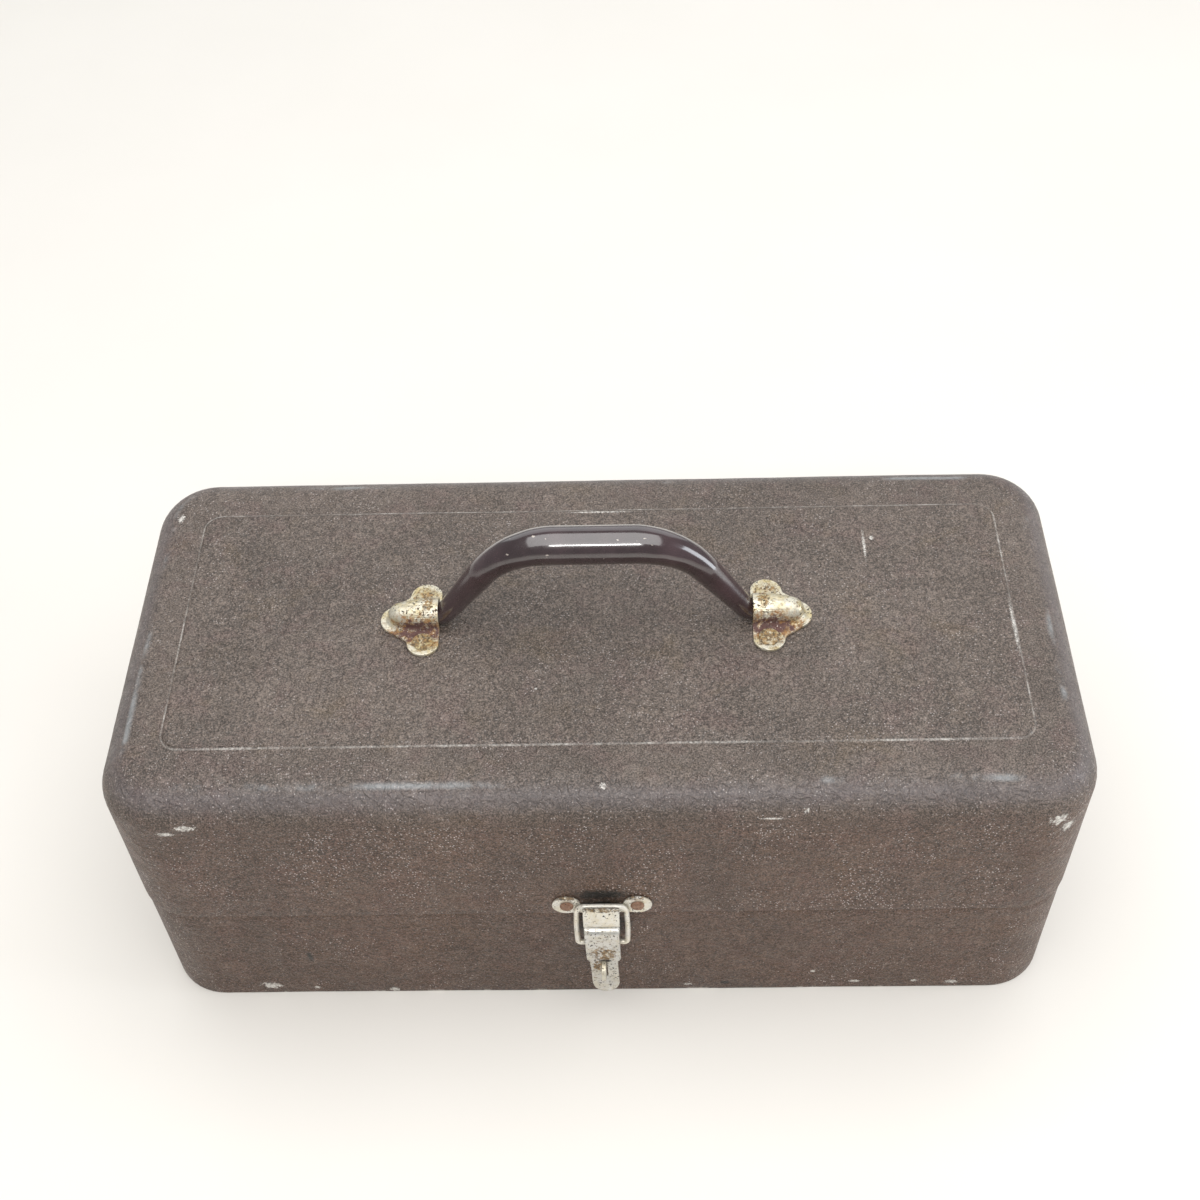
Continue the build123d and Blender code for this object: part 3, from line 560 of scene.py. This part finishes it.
def softened(name, node, voxel, smooth, faces, shape=None):
    """A new object from a node's form: remeshed, smoothed so its edges are round, and thinned out."""
    source = frame["nodes"][node]
    piece = bpy.data.objects.new(name, source.data.copy())
    scene.collection.objects.link(piece)
    for kind, settings in (
        ("REMESH", {"mode": "VOXEL", "voxel_size": voxel}),
        ("SMOOTH", {"factor": 0.5, "iterations": smooth}),
        ("DECIMATE", {"ratio": 1.0}),
    ):
        modifier = piece.modifiers.new(kind.lower(), kind)
        for key, value in settings.items():
            setattr(modifier, key, value)
    piece.modifiers["decimate"].show_viewport = False
    count = len(evaluated(piece).polygons)
    piece.modifiers["decimate"].show_viewport = True
    piece.modifiers["decimate"].ratio = min(1.0, faces / max(count * 2, 1))
    mesh = evaluated(piece)
    piece.modifiers.clear()
    piece.data = mesh
    if shape is not None:
        for vertex in mesh.vertices:
            vertex.co = shape(vertex.co)
    return piece


def evaluated(piece):
    bpy.context.view_layer.update()
    graph = bpy.context.evaluated_depsgraph_get()
    return bpy.data.meshes.new_from_object(piece.evaluated_get(graph))


# ---------------------------------------------------------------- case

def lid_profile(inset):
    """Loops of the lid from its hem up over the rolled edge and the panel's step to the middle."""
    half_x, half_y = LID_HIGH.x, LID_HIGH.y
    radius = TOP_R - inset
    loops = []
    for n in range(15):
        z = SEAM_Z + 0.35 * MM + (TOP_Z - TOP_R - SEAM_Z - 0.35 * MM) * n / 14
        loops.append(rounded_loop(half_x - inset, half_y - inset, CORNER_R - inset, z))
    for n in range(1, 13):
        turn = n / 12 * math.pi / 2
        drawn = inset + radius * (1 - math.cos(turn))
        z = TOP_Z - TOP_R + radius * math.sin(turn)
        loops.append(rounded_loop(half_x - drawn, half_y - drawn, CORNER_R - drawn, z))
    start = (half_x - TOP_R, half_y - TOP_R, CORNER_R - TOP_R)
    goal = (PANEL_HALF_X + 0.8 * MM, PANEL_HALF_Y + 0.8 * MM, PANEL_R + 0.8 * MM)
    for n in (0.35, 0.7, 0.9, 1.0):
        sizes = [a + (b - a) * n for a, b in zip(start, goal)]
        loops.append(rounded_loop(*sizes, TOP_Z - inset))
    for n in range(9):
        drawn = (PANEL_STEP + 1.2 * MM) * n / 8 - 0.6 * MM
        rise = PANEL_RISE * (0.5 - 0.5 * math.cos(math.pi * n / 8))
        sizes = (PANEL_HALF_X - drawn, PANEL_HALF_Y - drawn, PANEL_R - drawn)
        loops.append(rounded_loop(*sizes, TOP_Z - inset + rise))
    for n in range(1, 9):
        drawn = (PANEL_STEP + 0.6 * MM) + (PANEL_HALF_Y - 5 * MM) * n / 8
        sizes = (PANEL_HALF_X - drawn, PANEL_HALF_Y - drawn, PANEL_R * (1 - n / 9))
        loops.append(rounded_loop(*sizes, PANEL_TOP_Z - inset))
    return loops


def make_lid():
    outer = lid_profile(0)
    inner = lid_profile(SHEET)
    hem = [
        rounded_loop(LID_HIGH.x - d * MM, LID_HIGH.y - d * MM, CORNER_R - d * MM, SEAM_Z + up * MM)
        for d, up in ((0.88, 0.1), (0.6, 0.0), (0.4, 0.0), (0.12, 0.1))
    ]
    verts, faces = skin(inner[::-1] + hem + outer, cap=True)
    count = len(outer[0])
    faces.append(tuple(range(count))[::-1])
    piece = mesh_object("lid_pressing", [pressed(v) for v in verts], faces)
    return dress(piece, "lid", MATERIAL["enamel"], ["lid_shell"])


def make_base_wall():
    """The base's wall with rounded foot and rim, as one closed ring of loops."""
    half_x, half_y = LID_HIGH.x, LID_HIGH.y
    seam = SEAM_Z - SEAM_GAP
    rim_top = BASE_TOP_Z
    foot = 0.7
    # (distance in from the lid's face, height), both in millimetres
    outline = [(0.5 + foot, 0.0), (0.5 + 0.2, 0.2), (0.5, foot)]
    outline += [(0.5, foot + (seam / MM - foot - 0.3) * n / 12) for n in range(1, 13)]
    outline += [(0.6, seam / MM - 0.08), (0.8, seam / MM), (1.45, seam / MM)]
    outline += [(1.5, rim_top / MM - 0.4), (1.65, rim_top / MM)]
    outline += [(2.3, rim_top / MM), (2.5, rim_top / MM - 0.4)]
    outline += [(2.5, 54), (2.5, RIM_LOW_Z / MM + 0.2), (2.3, RIM_LOW_Z / MM), (1.55, RIM_LOW_Z / MM)]
    outline += [(1.5, 30), (1.5, 15), (1.5, 0.3), (1.4, 0.0)]
    loops = [
        rounded_loop(half_x - d * MM, half_y - d * MM, CORNER_R - d * MM, z * MM) for d, z in outline
    ]
    verts, faces = skin(loops, close=True)
    piece = mesh_object("base_pressing", [pressed(v) for v in verts], faces)
    return dress(piece, "base", MATERIAL["base_enamel"], ["base_wall"])


def make_tray():
    """The tray as one sheet with a rolled rim and a rounded foot."""
    middle_y = (TRAY_LOW.y + TRAY_HIGH.y) / 2
    half_x, half_y = TRAY_HIGH.x, (TRAY_HIGH.y - TRAY_LOW.y) / 2
    low, high = TRAY_LOW.z / MM, TRAY_HIGH.z / MM
    sheet = TRAY_SHEET / MM
    # (distance in from the tray's face, height), both in millimetres
    outline = [(2.2, low), (0.9, low + 0.35), (0.25, low + 1.1), (0.0, low + 2.4)]
    outline += [(0.0, low + 2.4 + (high - low - 5.4) * n / 5) for n in range(1, 6)]
    bead = 1.15
    for n in range(9):
        turn = math.pi * (1.15 - 1.3 * n / 8)
        outline.append((0.75 - bead * math.cos(turn - math.pi) * 0.98, high - bead + bead * math.sin(turn)))
    outline += [(sheet, high - 3.0 - (high - low - 6.4) * n / 5) for n in range(6)]
    outline += [(sheet + 0.25, low + sheet + 1.0), (sheet + 0.9, low + sheet + 0.3)]
    outline += [(sheet + 2.2, low + sheet)]
    loops = [
        rounded_loop(half_x - d * MM, half_y - d * MM, TRAY_R - d * MM, z * MM) for d, z in outline
    ]
    inner = [
        rounded_loop(half_x - d * MM, half_y - d * MM, max(TRAY_R - d * MM, MM), (low + sheet) * MM)
        for d in (12, 24, 36, 48, 60)
    ]
    verts, faces = skin(loops + inner, cap=True)
    count = len(loops[0])
    faces.append(tuple(range(count))[::-1])
    shift = Vector((0, middle_y, 0))
    piece = mesh_object("tray_pressing", [v + shift for v in verts], faces)
    return dress(piece, "tray", MATERIAL["tray_enamel"], ["tray_pan"])


# ---------------------------------------------------------------- handle and brackets

def handle_line(steps):
    """Half of the bail's centre line as (place, direction, radius), from the grip to the journal."""
    axis_z = JOINT["handle_fold"].z
    grip_r, knee_r, end_r = 6.7 * MM, 5.1 * MM, 3.9 * MM
    grip_z = GRIP_HIGH.z - grip_r
    straight, bend_r, foot_r = 12.8 * MM, 30 * MM, 4 * MM
    angle = math.radians(55)
    knee = Vector((straight + bend_r * math.sin(angle), 0, grip_z - bend_r * (1 - math.cos(angle))))
    down = Vector((math.cos(angle), 0, -math.sin(angle)))
    ankle_z = axis_z + foot_r * (1 - math.cos(angle))
    leg = (knee.z - ankle_z) / math.sin(angle)
    ankle = knee + down * leg
    foot_x = ankle.x + foot_r * math.sin(angle)
    line = []
    for n in range(steps):
        line.append((Vector((straight * n / steps, 0, grip_z)), Vector((1, 0, 0)), grip_r))
    for n in range(2 * steps):
        t = n / (2 * steps)
        turn = angle * t
        place = Vector((straight + bend_r * math.sin(turn), 0, grip_z - bend_r * (1 - math.cos(turn))))
        eased = t * t * (3 - 2 * t)
        radius = grip_r + (knee_r - grip_r) * eased
        line.append((place, Vector((math.cos(turn), 0, -math.sin(turn))), radius))
    for n in range(steps):
        t = n / steps
        line.append((knee + down * leg * t, down, knee_r + (end_r - knee_r) * t))
    for n in range(steps // 2 + 1):
        turn = angle * (1 - n / (steps // 2))
        place = Vector((foot_x - foot_r * math.sin(turn), 0, axis_z + foot_r * (1 - math.cos(turn))))
        line.append((place, Vector((math.cos(turn), 0, -math.sin(turn))), end_r))
    for short, thin in ((6, 1.0), (4, 0.93), (2, 0.82), (0.6, 0.76), (0, 0.65)):
        line.append((Vector((GRIP_HIGH.x - short * MM, 0, axis_z)), Vector((1, 0, 0)), end_r * thin))
    return line


def make_handle():
    """A round bar swept along the bail, with faint flats and ripples where it was bent."""
    half = handle_line(24)
    whole = [(Vector((-p.x, 0, p.z)), Vector((d.x, 0, -d.z)), r) for p, d, r in half[:0:-1]] + half
    rings = []
    for place, direction, radius in whole:
        side = Vector((0, 1, 0))
        over = direction.cross(side)
        bent = math.exp(-((abs(place.x) - 25 * MM) / (9 * MM)) ** 2)
        ring = []
        for n in range(48):
            turn = n / 48 * 2 * math.pi
            outward = side * math.cos(turn) + over * math.sin(turn)
            spot = place + outward * radius
            dent = 0.035 + 0.10 * bent
            ripple = noise.noise(spot * 190) * 0.6 + noise.noise(spot * 70)
            ring.append(place + outward * (radius - 0.12 * MM + ripple * dent * MM))
        rings.append(ring)
    verts, faces = skin(rings, cap=True)
    faces.append(tuple(range(48))[::-1])
    piece = mesh_object("handle_bar", verts, faces)
    return dress(piece, "handle", MATERIAL["handle_enamel"], ["handle_grip"])


def bracket_shape(place):
    """The barrel's nose runs out lower and slimmer towards the tip."""
    reach = max(0.0, min(1.0, (abs(place.x) - 59 * MM) / (9 * MM)))
    plate_top = TOP_Z + PANEL_RISE + 1.3 * MM
    if place.z < plate_top:
        return place
    slim = 1 - 0.17 * reach * reach * (3 - 2 * reach)
    return Vector((place.x, place.y * slim, plate_top + (place.z - plate_top) * slim))


def make_brackets():
    for side in ("left", "right"):
        node = f"handle_bracket_{side}"
        piece = softened(f"bracket_pressing_{side}", node, 0.2 * MM, 7, 28000, bracket_shape)
        dress(piece, "lid", MATERIAL[f"plating_{side}"], [node])
    piece = softened("bracket_rivet_heads", "handle_bracket_rivets", 0.2 * MM, 4, 16000)
    dress(piece, "lid", MATERIAL["rivet_plating"], ["handle_bracket_rivets"])


# ---------------------------------------------------------------- latch

def lever_shape(place):
    """The worn lever hangs a degree off plumb, and its slot has closed up a little."""
    below = max(0.0, JOINT["lever_turn"].z - place.z)
    x = place.x * 0.965
    height = place.z - LEVER_LOW.z
    if 9.4 * MM < height < 22.2 * MM and abs(x) < 4 * MM and place.y > FRONT_Y - 8.2 * MM:
        x -= math.copysign(0.45 * MM * (1 - abs(x) / (4 * MM)) / 0.62, x) if abs(x) > 1.2 * MM else 0.0
    return Vector((x + 0.28 * MM + 0.021 * below, place.y, place.z))


def keeper_shape(place):
    """The keeper was riveted on a shade off centre, its left ear bent in; the hook's skirt curls under."""
    x = place.x + 0.4 * MM
    if place.x < -7 * MM:
        x += 0.5 * MM * min(1.0, (-7 * MM - place.x) / (2 * MM))
    under = max(0.0, 62 * MM - place.z) if place.y < FRONT_Y - 5.4 * MM else 0.0
    return Vector((x, place.y + 0.35 * under, place.z - 0.6 * under))


def pin_shape(place):
    """The lever's pin ends just inside the lever's cheeks."""
    return Vector((place.x * 0.88 + 0.28 * MM, place.y, place.z))


def staple_shape(place):
    """The staple's free end is bent a hair to the right."""
    out = max(0.0, min(1.0, (FRONT_Y - 1.5 * MM - place.y) / (3 * MM)))
    return Vector((place.x + 0.5 * MM * out, place.y, place.z))


def make_latch():
    for name, node, body, slot, voxel, smooth, faces, shape in (
        ("keeper_pressing", "latch_keeper", "lid", "plating", 0.16, 4, 22000, keeper_shape),
        ("keeper_rivet_heads", "latch_keeper_rivets", "lid", "rusty_rivet", 0.16, 4, 8000, keeper_shape),
        ("lever_pressing", "latch_lever", "latch_lever", "lever_plating", 0.16, 5, 30000, lever_shape),
        ("lever_pin", "latch_pin", "base", "steel", 0.16, 2, 4000, pin_shape),
        ("staple_blank", "padlock_staple", "base", "plating", 0.14, 2, 6000, staple_shape),
        ("latch_plate_pressing", "latch_base_plate", "base", "plating", 0.18, 3, 10000, None),
    ):
        piece = softened(name, node, voxel * MM, smooth, faces, shape)
        dress(piece, body, MATERIAL.get(node, MATERIAL[slot]), [node])


def make_loop():
    """The wire loop, swept round its path, with arms that bow a little and rounded ends."""
    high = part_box("latch_loop")[1]
    wire = 0.95 * MM
    toggle = JOINT["loop_turn"]
    bar = Vector((0, high.y - wire, high.z - wire))
    up = bar - Vector((0, toggle.y, toggle.z))
    half = high.x - wire
    corner, curl = 3.4 * MM, 1.3 * MM
    end_x = LEVER_HIGH.x - 1.3 * MM
    tall = up.length
    path = [(end_x, 0.0)]
    for n in range(9):
        turn = -math.pi / 2 + n / 8 * math.pi / 2
        path.append((half - curl + curl * math.cos(turn), curl + curl * math.sin(turn)))
    for n in range(1, 9):
        t = n / 9
        bow = 0.22 * MM * math.sin(math.pi * t)
        path.append((half + bow - 0.1 * MM * t, curl + (tall - corner - curl) * t))
    for n in range(9):
        turn = n / 8 * math.pi / 2
        across = half - 0.1 * MM - corner + corner * math.cos(turn)
        path.append((across, tall - corner + corner * math.sin(turn)))
    path += [(half * t, tall) for t in (0.45, 0.3, 0.15, 0.0)]
    path += [(-x, h) for x, h in path[-2::-1]]
    lift = up.normalized()
    line = [Vector((x + 0.4 * MM, toggle.y, toggle.z)) + lift * h for x, h in path]
    normal = Vector((1, 0, 0)).cross(lift)
    rings = []
    for n, place in enumerate(line):
        along = (line[min(n + 1, len(line) - 1)] - line[max(n - 1, 0)]).normalized()
        across = along.cross(normal).normalized()
        ring = []
        for k in range(20):
            turn = k / 20 * 2 * math.pi
            outward = normal * math.cos(turn) + across * math.sin(turn)
            rough = 1 + 0.03 * noise.noise((place + outward * wire) * 900)
            ring.append(place + outward * wire * rough)
        rings.append(ring)
    verts, faces = skin(rings, cap=True)
    faces.append(tuple(range(20))[::-1])
    piece = mesh_object("loop_wire", verts, faces)
    return dress(piece, "latch_loop", MATERIAL["latch_loop"], ["latch_loop"])


# ---------------------------------------------------------------- making

make_camera()
make_light()
make_floor()

# rust, crust, a torn hole and painted shade on the fittings: where, and half-sizes, in millimetres
BRACKET_RUST = (((61.5, -6.6, 130.3), (7.5, 2.7, 3.8)),)
BRACKET_CRUST = (
    ((59.4, -9.6, 129), (4.4, 4.6, 2.6)), ((66, -5.6, 129), (4.5, 2.6, 2)),
    ((59.4, 10.3, 128), (4.2, 3.8, 2)), ((57.5, 1.5, 137), (1.8, 4.5, 2.0)),
)
BRACKET_HOLE = (((-69.6, 2.4, 131.8), (1.5, 1.6, 2.2)),)
LIP_CRUST = (
    ((0.4, -81.6, 70.7), (6.8, 1.4, 1.3)), ((-11.5, -77, 69.8), (3.6, 1.4, 1.1)),
    ((12, -77, 69.5), (3, 1.4, 1)),
)
LEVER_CRUST = (((0.8, -83.6, 42.5), (4.6, 1.8, 4.6)), ((-1.0, -83, 34), (2.2, 1.8, 4.0)))
# painted shade: a near-black patch in the lever's slot, where it lies in shadow
SLOT_SHADE = (((1.2, -83.4, 37.5), (2.2, 1.6, 0.75)),)


def mirrored(marks):
    """The same marks on the other side of the case."""
    return tuple(((-p[0], p[1], p[2]), size) for p, size in marks)


CREAM = (0.66, 0.62, 0.52)
RIM_CREAM = (0.74, 0.70, 0.58)
MATERIAL = {
    "enamel": enamel(
        "crinkled_lid", (0.152, 0.120, 0.100), (0.100, 0.078, 0.064), LID_SCUFFS, LID_HAIRS, LID_LATCH_SHADE_AND_GRIME,
        edge=(PANEL_HALF_X, PANEL_HALF_Y, PANEL_R), rolled=True,
    ),
    # the base's colours are darker and browner than the lid's: painted shade and a painted reflection of a
    # warm floor on its low walls
    "base_enamel": enamel(
        "crinkled_base_shaded", (0.140, 0.104, 0.080), (0.092, 0.068, 0.051), BASE_SCUFFS, (), BASE_GRIME_AND_LATCH_SHADE,
        low_edge=True,
    ),
    "base_bottom": enamel("crinkled_pan", (0.116, 0.073, 0.050), (0.075, 0.047, 0.032)),
    "tray_enamel": enamel("crinkled_tray", (0.16, 0.13, 0.112), (0.105, 0.083, 0.07)),
    "handle_enamel": handle_enamel(),
    "plating": plating("plating", CREAM, polish=(0.36, 0.52)),
    "plating_right": plating("plating_right", RIM_CREAM, 0.9, BRACKET_RUST, BRACKET_CRUST, pits=0.585),
    "plating_left": plating(
        "plating_left", RIM_CREAM, 0.9, mirrored(BRACKET_RUST), mirrored(BRACKET_CRUST), BRACKET_HOLE,
        pits=0.585,
    ),
    "rivet_plating": plating(
        "rivet_plating", (0.60, 0.55, 0.42), 0.9, (), BRACKET_CRUST + mirrored(BRACKET_CRUST),
        pits=0.57, metal=0.35,
    ),
    "latch_keeper": plating(
        "keeper_plating", (0.80, 0.78, 0.72), 0.45, (), LIP_CRUST, pits=0.60, metal=0.75,
        polish=(0.30, 0.42), scab=((0.012, 0.008, 0.005), (0.22, 0.13, 0.045)),
    ),
    "latch_loop": plating("loop_plating", (0.82, 0.79, 0.72), 0.3, pits=0.63, metal=0.4),
    "lever_plating": plating(
        "lever_plating", (0.66, 0.65, 0.62), 0.40, (), LEVER_CRUST, SLOT_SHADE, pits=0.595, metal=0.75,
        polish=(0.30, 0.42),
    ),
    "rusty_rivet": rusty("rusty_rivet", (0.17, 0.085, 0.050), (0.31, 0.185, 0.125)),
    "steel": zinc_steel(),
}

for part in frame["record"]["subparts"]:
    node = frame["nodes"][part["node"]]
    node.data.materials.clear()
    node.data.materials.append(MATERIAL.get(part["node"], MATERIAL[part["material_slot"]]))

make_lid()
make_base_wall()
make_tray()
make_handle()
make_brackets()
make_latch()
make_loop()
